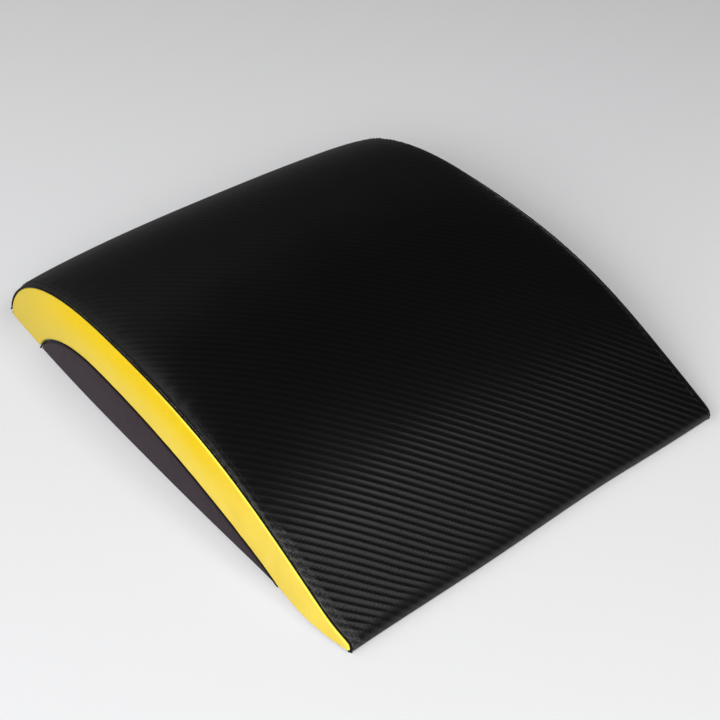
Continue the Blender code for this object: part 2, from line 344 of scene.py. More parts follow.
def grainedVinyl(look):  # pressed with a fine leather grain
    finish = Finish(look["name"] + "_finish")
    pebbles = finish.node("ShaderNodeTexVoronoi", {"feature": "DISTANCE_TO_EDGE"},
                          {"Vector": finish.place(), "Scale": 900.0})
    creases = finish.span(pebbles, 0.02, 0.22)
    mottle = finish.noise(55, 3)
    scuffs = finish.noise(260, 4, 0.65)
    colour = finish.mix(finish.span(mottle, 0.35, 0.75), look["colour"], look["shade"])
    if "aged" in look:
        # painted shade: the panel is painted darker towards the back
        towardsBack = finish.span(finish.parts(finish.place())[1], *look["agedSpan"])
        colour = finish.mix(towardsBack, colour, look["aged"])
        band = finish.parts(finish.node("ShaderNodeUVMap", {"uv_map": "band"}))
        # painted light: the upper half is deeper where light falls on it, the rest paler as in the floor's
        # reflected glow
        colour = finish.mix(finish.span(band[0], *look["crownSpan"]) * band[1], colour, look["crown"])
        rim = finish.parts(finish.node("ShaderNodeUVMap", {"uv_map": "rim"}))
        lit = finish.span(finish.parts(finish.place())[1], *look["rimFade"])
        # painted highlight along the panel's edge in the seam, brightest towards the front
        colour = finish.mix(finish.span(rim[0], *look["rimSpan"], 1, 0) * lit, colour, look["rim"])
    return finish.set(
        # painted shade: the creases of the grain are painted darker; the mottle above is random tone
        BaseColor=finish.mix((1 - creases) * 0.18, colour, look["shade"]),
        Roughness=look["roughness"] + (scuffs - 0.5) * 0.14,
        SpecularIORLevel=look["specular"],
        Normal=finish.bump(creases + scuffs * 0.5, look["grain"]),
    )


def pipingVinyl():
    finish = Finish("black_piping_finish")
    stretch = finish.noise(900, 3, 0.6)
    return finish.set(
        BaseColor=finish.mix(stretch, (0.0020, 0.0020, 0.0022), (0.0045, 0.0045, 0.0050)),
        Roughness=0.46 + stretch * 0.16,
        SpecularIORLevel=0.10,
        Normal=finish.bump(stretch, 0.00008),
    )


def twistedThread():  # the twist follows each stitch's own cut map
    finish = Finish("thread_finish")
    run = finish.parts(finish.node("ShaderNodeUVMap", {"uv_map": "cut"}))
    twist = ((run[0] * 2.0 + run[1] * 5.0) * (2 * math.pi)).math("SINE") * 0.5 + 0.5
    fuzz = finish.noise(5000, 2)
    return finish.set(
        # painted highlight and shade: the twist's crests are painted lighter than the grooves between them
        BaseColor=finish.mix(twist, (0.004, 0.004, 0.005), (0.016, 0.016, 0.017)),
        Roughness=0.50 + fuzz * 0.2,
        SpecularIORLevel=0.25,
        Normal=finish.bump(twist + fuzz * 0.3, 0.00008),
    )


baseLook = {"diamond": 0.0030, "line": 0.16, "relief": 0.00025}


def gripVinyl():  # a matt underside with raised diamonds
    finish = Finish("base_vinyl_finish")
    spot = finish.parts(finish.place())
    one = (spot[0] + spot[1]) / baseLook["diamond"]
    other = (spot[0] - spot[1]) / baseLook["diamond"]
    edgeOne = abs((one - one.floor()) * 2 - 1)
    edgeOther = abs((other - other.floor()) * 2 - 1)
    line = baseLook["line"]
    raised = finish.span(edgeOne.math("MAXIMUM", edgeOther), 1 - line, 1 - line / 3, 1, 0)
    dust = finish.noise(70, 4, 0.6)
    # painted shade: the grooves between the raised diamonds are painted darker than their faces
    colour = finish.mix(raised, (0.008, 0.008, 0.0085), (0.017, 0.017, 0.018))
    return finish.set(
        BaseColor=finish.mix(finish.span(dust, 0.5, 0.85, 0, 0.35), colour, (0.035, 0.034, 0.033)),
        Roughness=0.62 + dust * 0.2,
        SpecularIORLevel=0.35,
        Normal=finish.bump(raised + dust * 0.1, baseLook["relief"]),
    )


def openFoam():
    finish = Finish("foam_finish")
    cells = finish.node("ShaderNodeTexVoronoi", {"feature": "F1"},
                        {"Vector": finish.place(), "Scale": 1400.0})
    age = finish.noise(30, 3)
    colour = finish.mix(age, (0.60, 0.57, 0.49), (0.68, 0.63, 0.50))
    return finish.set(
        # painted shade: the pits of the open cells are painted darker than the cell walls
        BaseColor=finish.mix(finish.span(cells, 0.1, 0.6), (0.36, 0.33, 0.27), colour),
        Roughness=0.95,
        SpecularIORLevel=0.2,
        Normal=finish.bump(cells, 0.0002),
    )


print("finishes ready")


# The outline of the side seams, and the path of the cover's cloth over it.

def curvePoints(start, first, second, end, steps):
    found = interpolate_bezier(Vector(start), Vector(first), Vector(second), Vector(end), steps + 1)
    return [tuple(point[:2]) for point in found]


def seamOutline(steps=60):  # (y, z) from the front curl over the crest to the back curl
    front = -halfLength
    back = halfLength
    nose = (front + shape["noseDepth"], shape["noseHeight"])
    crest = (front + shape["crestDistance"], shape["sideHeight"])
    foot = (back, shape["footHeight"])
    slope = math.radians(shape["slopeAngle"])
    lean = (math.cos(slope), math.sin(slope))
    run = crest[0] - nose[0]
    rise = shape["noseDepth"] * shape["noseShares"][1]
    depth = (nose[1] - startLevel) * shape["noseShares"][0]
    found = [(front, curlLevel)] + curvePoints(
        (front, startLevel), (front, startLevel + depth),
        (nose[0] - lean[0] * rise, nose[1] - lean[1] * rise), nose, steps // 3)[:-1]
    reach = run * shape["slopeShares"][0]
    found += curvePoints(
        nose, (nose[0] + lean[0] * reach, nose[1] + lean[1] * reach),
        (crest[0] - run * shape["slopeShares"][1], crest[1]), crest, steps * 2)[:-1]
    found += curvePoints(
        crest, (crest[0] + (back - crest[0]) * shape["backShares"][0], crest[1]),
        (back, foot[1] + (crest[1] - foot[1]) * shape["backShares"][1]), foot, steps * 2)
    return np.array(found + [(back, curlLevel)])


def leftNormals(line):  # of an open (y, z) line, pointing out of the mat
    along = np.gradient(line, axis=0)
    along /= np.maximum(np.linalg.norm(along, axis=1), 1e-9)[:, None]
    found = np.stack([-along[:, 1], along[:, 0]], axis=1)
    found[0], found[-1] = (-1, 0), (1, 0)
    return found


def lengths(line):
    return np.concatenate([[0], np.cumsum(np.linalg.norm(np.diff(line, axis=0), axis=1))])


outline = seamOutline()
outlineNormals = leftNormals(outline)


def movedIn(distance):
    return outline - outlineNormals * distance


def turnedUnder(end, steps=12):  # the hem and curl at one end: places, normals and insets
    angles = np.linspace(math.pi / 2, 0, steps)
    radius = shape["curlRadius"]
    out = np.stack([end * np.cos(angles), -np.sin(angles)], axis=1)
    centre = np.array([end * (halfLength - radius), curlLevel])
    foot = shape["hemLevel"] - curlLevel
    hem = np.array([(-end * shape["hemWidth"], foot), (-end * shape["tuck"], foot)])
    places = np.concatenate([centre + hem, centre + out * radius])
    turned = np.concatenate([[(0, -1), (0, -1)], out])
    insets = np.concatenate([radius + np.abs(hem[:, 0]), radius * (1 - np.cos(angles))])
    if end < 0:
        return places, turned, insets
    return places[::-1], turned[::-1], insets[::-1]


def coverPath():  # y, z, normal, inset and lift against the length of cloth
    front, frontNormals, frontInsets = turnedUnder(-1)
    back, backNormals, backInsets = turnedUnder(1)
    lift = (outline[:, 1] - curlLevel) / (shape["sideHeight"] - curlLevel)
    places = np.concatenate([front[:-1], outline, back[1:]])
    turned = np.concatenate([frontNormals[:-1], outlineNormals, backNormals[1:]])
    inset = np.concatenate([frontInsets[:-1], outline[:, 0] * 0, backInsets[1:]])
    raised = np.concatenate([front[:-1, 0] * 0, lift, back[1:, 0] * 0])
    return lengths(places), np.column_stack([places, turned, inset, raised])


pathLengths, pathValues = coverPath()


def onPath(length):  # y, z, normal y, normal z, inset and lift at lengths of cloth
    return np.stack([np.interp(length, pathLengths, column) for column in pathValues.T], axis=1)


def between(marks, counts):  # stations that run through the marks with so many cells each
    runs = [np.linspace(a, b, n, endpoint=False) for a, b, n in zip(marks, marks[1:], counts)]
    return np.concatenate(runs + [[marks[-1]]])


def domed(share):  # the pad's crown over its width, steep beside the seams
    return np.sqrt(np.clip(1 - share ** 2, 0, 1))


def crowded(shares, crowding):  # shares from -1 to 1 drawn towards both ends
    return shares * (1 + crowding) - crowding * shares ** 3


def rolled(distance, radius):  # how far a sheet's edge has turned down, from its edge inwards
    short = np.clip(radius - distance, 0, radius)
    return radius - np.sqrt(radius ** 2 - short ** 2)


def ripple(length, seed, count=7, short=0.007, long=0.030):
    draw = random.Random(seed)  # an uneven wave between -1 and 1 along a seam
    total = length * 0
    for _ in range(count):
        wave = draw.uniform(short, long)
        total = total + np.sin(length * 2 * math.pi / wave + draw.uniform(0, 2 * math.pi))
    return total / count ** 0.5 / 1.4


def cornerPoints(piece):  # the vertex at each corner of each face
    found = np.empty(len(piece.data.loops), int)
    piece.data.loops.foreach_get("vertex_index", found)
    return found


def layCloth(name, columns, rows, place):  # a grid whose points place() puts, with its cut as UVs
    bpy.ops.mesh.primitive_grid_add(x_subdivisions=columns, y_subdivisions=rows, size=1, calc_uvs=True)
    cloth = added(name)
    shares = points(cloth) + 0.5
    places, cut = place(shares[:, 0], shares[:, 1])
    setPoints(cloth, places)
    cloth.data.uv_layers.active.name = "cut"
    cloth.data.uv_layers.active.data.foreach_set("uv", cut[cornerPoints(cloth)].ravel())
    return cloth


def addMap(cloth, name, values):  # a further UV map, from a pair of values at each vertex
    uvs = cloth.data.uv_layers.new(name=name).data
    uvs.foreach_set("uv", np.asarray(values, float)[cornerPoints(cloth)].ravel())


def cutOf(cloth):  # each vertex's place on the flat cut
    flat = np.empty(len(cloth.data.loops) * 2)
    cloth.data.uv_layers["cut"].data.foreach_get("uv", flat)
    found = np.zeros((len(cloth.data.vertices), 2))
    found[cornerPoints(cloth)] = flat.reshape(-1, 2)
    return found


def swell(cloth, pressure, cap, held):  # cloth simulation with its seams held and its travel capped
    before = points(cloth)
    group = cloth.vertex_groups.new(name="seams")
    group.add([int(i) for i in np.flatnonzero(held)], 1.0, "REPLACE")
    alone(cloth)
    modifier = cloth.modifiers.new("cloth", "CLOTH")
    settings = modifier.settings
    settings.quality = 6
    settings.mass = 0.35
    settings.tension_stiffness = settings.compression_stiffness = 18
    settings.bending_stiffness = 1.5
    settings.vertex_group_mass = "seams"
    settings.use_pressure = True
    settings.uniform_pressure_force = pressure
    settings.effector_weights.gravity = 0
    scene = bpy.context.scene
    for step in range(1, 21):
        scene.frame_set(step)
    bpy.ops.object.modifier_apply(modifier=modifier.name)
    scene.frame_set(1)
    moved = points(cloth) - before
    far = np.linalg.norm(moved, axis=1)
    most = np.maximum(cap, 1e-9)
    kept = most * np.tanh(far / most) / np.maximum(far, 1e-9)
    setPoints(cloth, before + moved * kept[:, None])
    cloth.vertex_groups.clear()
    print("  moved", cloth.name, "by up to", round(float((far * kept).max() * 1000), 2), "mm")
    return cloth


# The top cover: one length of embossed vinyl from hem to hem.

cover = {
    "thickness": 0.0012, "edgeRadius": 0.0004,
    "columns": 52, "crowding": 0.42, "alongCells": (4, 6, 9, 72, 58, 4, 6, 4),
    "noseRun": 0.0190, "backRun": 0.006,  # lengths of cloth with cells of their own, beside the curls
    "tipReach": 0.0010, "tipTop": 0.007, "tipFade": 0.004,  # its edges reach out near the floor
    "startCrown": 0.0127,  # the pad swells to its full crown
    "pressure": 4.0, "travel": 0.0022, "pinched": 0.024,
    "lowTravel": 0.12, "seamTravel": 0.15,  # shares of the travel, near the floor and the seams
    "heldPast": (0.001, 0.004),  # the front curl and the back one
    "stitchInset": 0.0045, "stitchPitch": 0.0044, "rowEnds": (0.010, 0.008),
    "channelDepth": 0.00008, "channelWidth": 0.0007, "channelWave": 0.28,
    "pucker": 0.00026, "puckerReach": 0.008, "puckerStart": 0.002,
    "unevenness": 0.00035, "unevenTurns": (31, 23), "unevenStarts": (0.6, 1.1), "unevenMargin": 0.03,
}
pathMarks = {"hem": 2, "curl": 13, "steep": -40}  # first past the hem, past the curl, on the steep back
forwards = slice(pathMarks["curl"], pathMarks["steep"])
clothLength = pathLengths[-1]
hemEnd = pathLengths[pathMarks["hem"]]
curlEnd = pathLengths[pathMarks["curl"]]
noseLength = curlEnd + cover["noseRun"]  # where the slope begins, on the length of cloth
crestLength = float(np.interp(-halfLength + shape["crestDistance"], pathValues[forwards, 0],
                              pathLengths[forwards]))


def makeTopCover():
    marks = [0, hemEnd, curlEnd, noseLength, crestLength, clothLength - curlEnd - cover["backRun"],
             clothLength - curlEnd, clothLength - hemEnd, clothLength]
    stations = between(marks, cover["alongCells"])

    def place(across, along):
        share = crowded(across * 2 - 1, cover["crowding"])
        length = np.interp(along, np.linspace(0, 1, len(stations)), stations)
        y, z, outY, outZ, inset, lift = onPath(length).T
        tip = np.clip((cover["tipTop"] - z) / cover["tipFade"], 0, 1) * cover["tipReach"]
        wide = share * (halfWidth - shape["seamGap"] + tip - inset)
        rise = cover["startCrown"] * lift * domed(share)
        return np.column_stack([wide, y + outY * rise, z + outZ * rise]), np.column_stack([wide, length])

    cloth = layCloth("top_cover_skin", cover["columns"], len(stations) - 1, place)
    cut = cutOf(cloth)
    lift = onPath(cut[:, 1])[:, 5]
    frontHeld, backHeld = cover["heldPast"]
    flat = (cut[:, 1] < curlEnd + frontHeld) | (cut[:, 1] > clothLength - curlEnd - backHeld)
    fromSeam = halfWidth - shape["seamGap"] - np.abs(cut[:, 0])
    room = np.clip(fromSeam / cover["pinched"], 0, 1)
    low, pinch = cover["lowTravel"], cover["seamTravel"]
    cap = cover["travel"] * (low + (1 - low) * np.clip(lift, 0, 1)) * (pinch + (1 - pinch) * room)
    swell(cloth, cover["pressure"], cap, flat | (fromSeam < touching))
    applied(cloth, "SUBSURF", levels=1, render_levels=1, boundary_smooth="PRESERVE_CORNERS")

    cut = cutOf(cloth)
    width, length = np.abs(cut[:, 0]), cut[:, 1]
    values = onPath(length)
    fromEdge = halfWidth - shape["seamGap"] - values[:, 4] - width
    outwards = np.column_stack([length * 0, values[:, 2:4]])
    down = rolled(fromEdge, cover["edgeRadius"])
    fromStitch = fromEdge + shape["seamGap"] - cover["stitchInset"]
    wave = cover["channelWave"]  # deeper at each needle hole
    holes = 1 - wave + wave * np.cos(length * 2 * math.pi / cover["stitchPitch"])
    channel = cover["channelDepth"] * np.exp(-(fromStitch / cover["channelWidth"]) ** 2) * holes
    seed = np.where(cut[:, 0] < 0, ripple(length, 3), ripple(length, 8))
    fade = np.exp(-(fromEdge / cover["puckerReach"]) ** 2) * np.clip(fromEdge / cover["puckerStart"], 0, 1)
    pucker = cover["pucker"] * seed * fade * np.clip(values[:, 5] * 6, 0, 1)
    turns, starts = cover["unevenTurns"], cover["unevenStarts"]
    uneven = cover["unevenness"] * np.sin(cut[:, 0] * turns[0] + starts[0])
    uneven = uneven * np.sin(length * turns[1] + starts[1]) * np.clip(values[:, 5] * 3, 0, 1)
    uneven = uneven * np.clip(fromEdge / cover["unevenMargin"], 0, 1)
    setPoints(cloth, points(cloth) + outwards * (pucker + uneven - down - channel)[:, None])
    applied(cloth, "SOLIDIFY", thickness=cover["thickness"], offset=-1, use_even_offset=False)
    return smooth(cloth)


topCover = makeTopCover()
wear(topCover, embossedVinyl(), ["top_cover"])
print("top cover sewn")


# The side panels and the charcoal inserts, which meet along an arc.

arc = {
    "front": 0.059, "crest": 0.250, "height": 0.0375, "backMargin": 0.045,
    "frontShares": (0.356, 0.80), "crestShares": (0.314, 0.53), "backShares": (0.106, 0.427),
    "gap": 0.0010, "edgeRadius": 0.0011,
    "insertEnds": (0.0030, 0.0012), "insertMargin": 0.03, "insertCells": (18, 40, 40, 22),
}
panel = {
    "thickness": 0.0012, "edgeRadius": 0.0019,
    "rows": 22, "crowding": 0.40, "cells": (10, 14, 12, 34, 40, 18, 12, 10),
    "margins": (0.012, 0.03, 0.006, 0.010),  # where the cells along it change
    "pressure": 14.0, "travel": 0.0026, "insertTravel": 0.0016,
    "fullHeight": 0.03, "leastTravel": 0.02,  # where it is lower than this it swells less
    "pucker": 0.00016, "puckerReach": 0.007, "puckerStart": 0.002, "puckerLift": 0.004,
    "bandEnds": (0.065, 0.030), "bandFade": 0.07,  # of the painted deeper yellow, from both ends
}


def arcLine(steps=70):  # (y, z) from its front end to its back end
    start = (-halfLength + arc["front"], 0.0)
    crest = (-halfLength + arc["crest"], arc["height"])
    end = (halfLength - arc["backMargin"], 0.0)
    rise, fall = crest[0] - start[0], end[0] - crest[0]
    found = curvePoints(
        start, (start[0] + rise * arc["frontShares"][0], arc["height"] * arc["frontShares"][1]),
        (crest[0] - rise * arc["crestShares"][0], arc["height"]), crest, steps)[:-1]
    found += curvePoints(
        crest, (crest[0] + fall * arc["crestShares"][1], arc["height"]),
        (end[0] - fall * arc["backShares"][0], arc["height"] * arc["backShares"][1]), end, steps)
    return np.array(found)


arcPoints = arcLine()


def heightOf(line, y):  # a line's height over places that it passes once
    order = np.argsort(line[:, 0], kind="stable")
    return np.interp(y, line[order, 0], line[order, 1], left=-1, right=-1)


def awayFrom(line, y, z):  # distance to the nearest point of a dense line
    dense = np.column_stack([np.interp(np.linspace(0, lengths(line)[-1], 900), lengths(line), line[:, k])
                             for k in (0, 1)])
    found = np.full(len(y), 1.0)
    for point in dense:
        found = np.minimum(found, np.hypot(y - point[0], z - point[1]))
    return found


sheetEdge = movedIn(shape["seamGap"])
seamTop = np.array([point for k, point in enumerate(sheetEdge)
                    if k == 0 or point[0] > sheetEdge[:k, 0].max() + 1e-6])


def sideOut(y, z):  # how far the side stands out from the middle plane
    edge = heightOf(seamTop, np.clip(y, seamTop[0, 0], seamTop[-1, 0]))
    top = heightOf(outline, y)
    share = np.clip((z - curlLevel) / np.maximum(edge - curlLevel, 1e-6), 0, 1)
    grown = np.clip((top - curlLevel) / (shape["sideHeight"] - curlLevel), 0, 1) ** 2
    bulge = grown * (shape["sideBow"] * (1 - share) + shape["sidePuff"] * 4 * share * (1 - share))
    fromFoot = (y - (shape["footMiddle"] - halfLength)) / shape["footReach"]
    bulge += shape["footPuff"] * (1 - share) * np.exp(-fromFoot ** 2)
    under = np.clip(curlLevel - z, 0, shape["curlRadius"])
    return halfWidth + bulge - shape["curlRadius"] + np.sqrt(shape["curlRadius"] ** 2 - under ** 2)


def sheetBetween(name, side, yStations, low, high, travel):
    ups = (crowded(np.linspace(-1, 1, panel["rows"] + 1), panel["crowding"]) + 1) / 2

    def place(across, up):
        y = np.interp(across, np.linspace(0, 1, len(yStations)), yStations)
        share = np.interp(up, np.linspace(0, 1, len(ups)), ups)
        bottom, top = low(y), high(y)
        z = bottom + (top - bottom) * share
        return np.column_stack([side * sideOut(y, z), y, z]), np.column_stack([y, z])

    cloth = layCloth(name, len(yStations) - 1, panel["rows"], place)
    if side < 0:  # so that the faces point out of the mat
        editing(cloth)
        bpy.ops.mesh.select_all(action="SELECT")
        bpy.ops.mesh.flip_normals()
        bpy.ops.object.mode_set(mode="OBJECT")
    flat = cutOf(cloth)
    bottom, top = low(flat[:, 0]), high(flat[:, 0])
    ends = (flat[:, 0] < yStations[0] + 1e-5) | (flat[:, 0] > yStations[-1] - 1e-5)
    edges = (flat[:, 1] < bottom + touching) | (flat[:, 1] > top - touching)
    cap = travel * np.clip((top - bottom) / panel["fullHeight"], panel["leastTravel"], 1)
    swell(cloth, panel["pressure"], cap, ends | edges | (flat[:, 1] < curlLevel))
    return cloth


def finishSheet(cloth, side, low, high, seed, tip):
    applied(cloth, "SUBSURF", levels=1, render_levels=1, boundary_smooth="PRESERVE_CORNERS")
    flat = cutOf(cloth)
    y, z = flat.T
    fromSeam = awayFrom(outline, y, z) - shape["seamGap"]
    fromArc = awayFrom(arcPoints, y, z) - arc["gap"]
    front, back = panel["bandEnds"][0] - halfLength, halfLength - panel["bandEnds"][1]
    ends = np.clip(np.minimum(y - front, back - y) / panel["bandFade"], 0, 1)
    addMap(cloth, "band", np.column_stack([(z - low(y)) / np.maximum(high(y) - low(y), 1e-6), ends]))
    # distances from the seam and the arc, which place the painted highlight along the panel's edges
    addMap(cloth, "rim", np.column_stack([fromSeam, fromArc]))
    pucker = panel["pucker"] * ripple(y, seed) * (
        np.exp(-(fromSeam / panel["puckerReach"]) ** 2) + np.exp(-(fromArc / panel["puckerReach"]) ** 2))
    pucker *= (np.clip(np.minimum(fromSeam, fromArc) / panel["puckerStart"], 0, 1)
               * np.clip((z - curlLevel) / panel["puckerLift"], 0, 1))
    inwards = rolled(fromSeam, panel["edgeRadius"]) + rolled(fromArc, arc["edgeRadius"]) - pucker
    places = points(cloth)
    places[:, 0] -= side * inwards
    setPoints(cloth, places)
    editing(cloth, "EDGE")  # the hem, turned in under the foam
    level = shape["rest"] + 0.0001

    def onHem(edge):
        ends = [cloth.data.vertices[i].co for i in edge.vertices]
        return all(end.z < level for end in ends) and abs(ends[0].y - ends[1].y) > 1e-5

    pick(cloth, "edges", onHem)
    bpy.ops.mesh.extrude_region_move(
        TRANSFORM_OT_translate={"value": (-side * shape["tuck"], 0, shape["hemLevel"] - shape["rest"])})
    bpy.ops.mesh.extrude_region_move(
        TRANSFORM_OT_translate={"value": (-side * (shape["hemWidth"] - shape["tuck"]), 0, 0)})
    bpy.ops.transform.resize(value=(1, tip, 1), center_override=(0, 0, 0))
    bpy.ops.object.mode_set(mode="OBJECT")
    applied(cloth, "SOLIDIFY", thickness=panel["thickness"], offset=-1, use_even_offset=False)
    return smooth(cloth)


arcLow = arcPoints[np.argmax(arcPoints[:, 1] > shape["rest"])][0]
arcHigh = arcPoints[len(arcPoints) - 1 - np.argmax(arcPoints[::-1, 1] > shape["rest"])][0]
arcNormals = leftNormals(arcPoints)
arcOuter = arcPoints + arcNormals * arc["gap"]
arcInner = arcPoints - arcNormals * arc["gap"]


def seamHeight(y):
    return heightOf(seamTop, np.clip(y, seamTop[0, 0], seamTop[-1, 0]))


def panelFoot(y):
    return np.maximum(heightOf(arcOuter, y), shape["rest"])


def insertTop(y):
    return heightOf(arcInner, y)


def floorLine(y):
    return y * 0 + shape["rest"]


def areaUnder(heights, stations):
    return float(((heights[1:] + heights[:-1]) / 2 * np.diff(stations)).sum())


def panelStations():
    front, back = seamTop[0, 0], seamTop[-1, 0]
    near, before, beyond, last = panel["margins"]
    marks = [front, front + near, arcLow - near, arcLow + near, 0.0, arcHigh - before, arcHigh + beyond,
             back - last, back]
    return between(marks, panel["cells"])


def insertStations():
    front, back = arcLow + arc["insertEnds"][0], arcHigh - arc["insertEnds"][1]
    return between([front, front + arc["insertMargin"], 0.0, back - arc["insertMargin"], back],
                   arc["insertCells"])


yellowVinyl = grainedVinyl(yellow)
charcoalVinyl = grainedVinyl(charcoal)
mitre = (halfLength - shape["curlRadius"] - shape["hemWidth"] / 2) / halfLength
for side, word in ((-1, "left"), (1, "right")):
    skin = sheetBetween("side_panel_" + word + "_skin", side, panelStations(), panelFoot, seamHeight,
                        panel["travel"])
    finishSheet(skin, side, panelFoot, seamHeight, 21 + side, mitre)
    wear(skin, yellowVinyl, ["side_panel_" + word])
    skin.visible_diffuse = False  # no yellow light thrown on the floor
    stations = np.linspace(seamTop[0, 0], seamTop[-1, 0], 400)
    area = areaUnder(seamHeight(stations) - panelFoot(stations), stations)
    inner = sheetBetween("side_insert_" + word + "_skin", side, insertStations(), floorLine, insertTop,
                         panel["insertTravel"])
    finishSheet(inner, side, floorLine, insertTop, 31 + side, 1.0)
    wear(inner, charcoalVinyl, ["side_insert_" + word])
    stations = insertStations()
    area = areaUnder(insertTop(stations) - shape["rest"], stations)
print("side panels sewn")


# Piping: a covered cord in each seam, with its cut ends standing out a little.

piping = {
    "roundness": 4, "spacing": 0.0030, "clear": 0.0002, "footMargin": 0.0004, "sunk": 0.0003,
    "stub": 0.0014,  # its cut ends lean out, back and up by shares of this
    "topEnds": ((0.4, 1.1, 0), (0.5, 0.5, -0.7)), "insertEnds": ((-0.2, -1, -0.4), (0.6, 0.2, -0.5)),
}


def cordCurve(name, path, radius):
    bpy.ops.curve.primitive_bezier_curve_add()
    cord = added(name)
    curve = cord.data
    curve.splines.clear()
    spline = curve.splines.new("POLY")
    spline.points.add(len(path) - 1)
    for point, place in zip(spline.points, path):
        point.co = (*place, 1)
    spline.use_smooth = True
    curve.dimensions = "3D"
    curve.bevel_depth = radius
    curve.bevel_resolution = piping["roundness"]
    curve.use_fill_caps = True
    alone(cord)
    bpy.ops.object.convert(target="MESH")
    return smooth(bpy.context.object, 60)


def spaced(line, spacing):  # the line again, with points that far apart
    along = lengths(line)
    stops = np.linspace(0, along[-1], int(along[-1] / spacing) + 2)
    return np.column_stack([np.interp(stops, along, line[:, k]) for k in range(line.shape[1])])


def withStubs(path, side, ends):
    front, back = [place + piping["stub"] * np.array((side * lean[0], lean[1], lean[2]))
                   for place, lean in zip((path[0], path[-1]), ends)]
    return np.concatenate([[front], path, [back]])


def topPipingPath(side):
    line = movedIn(shape["pipingDepth"])
    low = np.array([[line[0, 0], shape["pipingRadius"] + piping["clear"]]])
    keep = line[(line[:, 1] > shape["footHeight"] - piping["footMargin"]) | (line[:, 0] < 0)]
    line = spaced(np.concatenate([low, keep]), piping["spacing"])
    path = np.column_stack([line[:, 0] * 0 + side * (halfWidth - shape["pipingDepth"]), line])
    return withStubs(path, side, piping["topEnds"])


def insertPipingPath(side):
    line = arcPoints[arcPoints[:, 1] > shape["pipingRadius"] + piping["clear"]]
    line = spaced(line, piping["spacing"])
    out = sideOut(line[:, 0], line[:, 1]) - piping["sunk"]
    return withStubs(np.column_stack([side * out, line]), side, piping["insertEnds"])


pipingFinish = pipingVinyl()
for side, word in ((-1, "left"), (1, "right")):
    cord = cordCurve("top_piping_" + word + "_cord", topPipingPath(side), shape["pipingRadius"])
    wear(cord, pipingFinish, ["top_piping_" + word])
    cord = cordCurve("insert_piping_" + word + "_cord", insertPipingPath(side), shape["pipingRadius"])
    wear(cord, pipingFinish, ["insert_piping_" + word])
print("piping laid")


# Stitches: one is modelled, then copied along each row.

stitch = {
    "radius": 0.00027, "sides": 8, "flat": 0.0011,
    "raised": 0.55, "baseRaised": 0.9,  # how far it stands out of its sheet, in shares of its radius
    "reach": ((0.0005, 0.94, 0.00005), (0.0003, 0.86, 0.00014), (0.0002, 0.70, 0.00024)),
}


def makeStitch():
    bpy.ops.mesh.primitive_cylinder_add(
        vertices=stitch["sides"], radius=stitch["radius"], depth=stitch["flat"],
        rotation=(0, math.pi / 2, 0), calc_uvs=True)
    one = added("stitch")
    bpy.ops.object.transform_apply(location=True, rotation=True, scale=True)
    for end in (-1, 1):
        editing(one, "FACE")
        pick(one, "polygons", lambda face: face.normal.x * end > 0.9)
        for step, size, drop in stitch["reach"]:
            bpy.ops.mesh.extrude_region_move(TRANSFORM_OT_translate={"value": (end * step, 0, -drop)})
            bpy.ops.transform.resize(value=(1, size, size))
        bpy.ops.object.mode_set(mode="OBJECT")
    one.data.uv_layers.active.name = "cut"
    places = points(one)
    turn = np.arctan2(places[:, 1], places[:, 2]) / (2 * math.pi)
    run = np.column_stack([turn, places[:, 0] / (2 * stitch["flat"])])
    one.data.uv_layers["cut"].data.foreach_set("uv", run[cornerPoints(one)].ravel())
    return smooth(one, 70)


def sewRow(name, path, ups, one):  # a stitch at every place, along the path and facing up
    copies = []
    for k in range(len(path)):
        before, after = path[max(k - 1, 0)], path[min(k + 1, len(path) - 1)]
        along = Vector(after - before).normalized()
        up = Vector(ups[k])
        across = up.cross(along).normalized()
        up = along.cross(across)
        turn = Matrix((along, across, up)).transposed().to_4x4()
        made = one.copy()
        made.data = one.data.copy()
        bpy.context.collection.objects.link(made)
        made.data.transform(Matrix.Translation(path[k]) @ turn)
        copies.append(made)
    return joined(name, copies)


def topRow(side):
    start, end = curlEnd + cover["rowEnds"][0], clothLength - curlEnd - cover["rowEnds"][1]
    count = int((end - start) / cover["stitchPitch"])
    first = math.ceil(start / cover["stitchPitch"]) + 0.5
    length = (first + np.arange(count)) * cover["stitchPitch"]
    y, z, outY, outZ, _, lift = onPath(length).T
    wide = side * (halfWidth - cover["stitchInset"])
    rise = cover["startCrown"] * lift * domed(1 - cover["stitchInset"] / halfWidth)
    places, ups = [], []
    for k in range(len(length)):
        guess = Vector((wide, y[k] + outY[k] * rise[k], z[k] + outZ[k] * rise[k]))
        _, near, normal, _ = topCover.closest_point_on_mesh(guess + Vector((0, outY[k], outZ[k])) * 0.001)
        places.append(np.array(near) + np.array(normal) * stitch["radius"] * stitch["raised"])
        ups.append(np.array((0, outY[k], outZ[k])))
    return np.array(places), ups


oneStitch = makeStitch()
threadFinish = twistedThread()
for side, word in ((-1, "left"), (1, "right")):
    places, ups = topRow(side)
    row = sewRow("top_stitches_" + word, places, ups, oneStitch)
    wear(row, threadFinish, ["top_stitching_" + word])
print("top rows stitched")


# The base sheet: a grip vinyl with a stitched channel round it.

base = {
    "thickness": 0.0016, "inset": 0.0035, "cornerRadius": 0.006, "cornerSteps": 6,
    "channelInset": 0.0042, "channelWidth": 0.0016, "channelDepth": 0.0009, "sideCuts": 24,
    "stitchPitch": 0.0042,
}


def bowed(places):  # the long sides follow the bow of the side panels
    y = np.clip(places[:, 1], -halfLength + 0.001, halfLength - 0.001)
    out = sideOut(y, y * 0 + curlLevel)
    places[:, 0] *= 1 + (out - halfWidth) / halfWidth
    return places


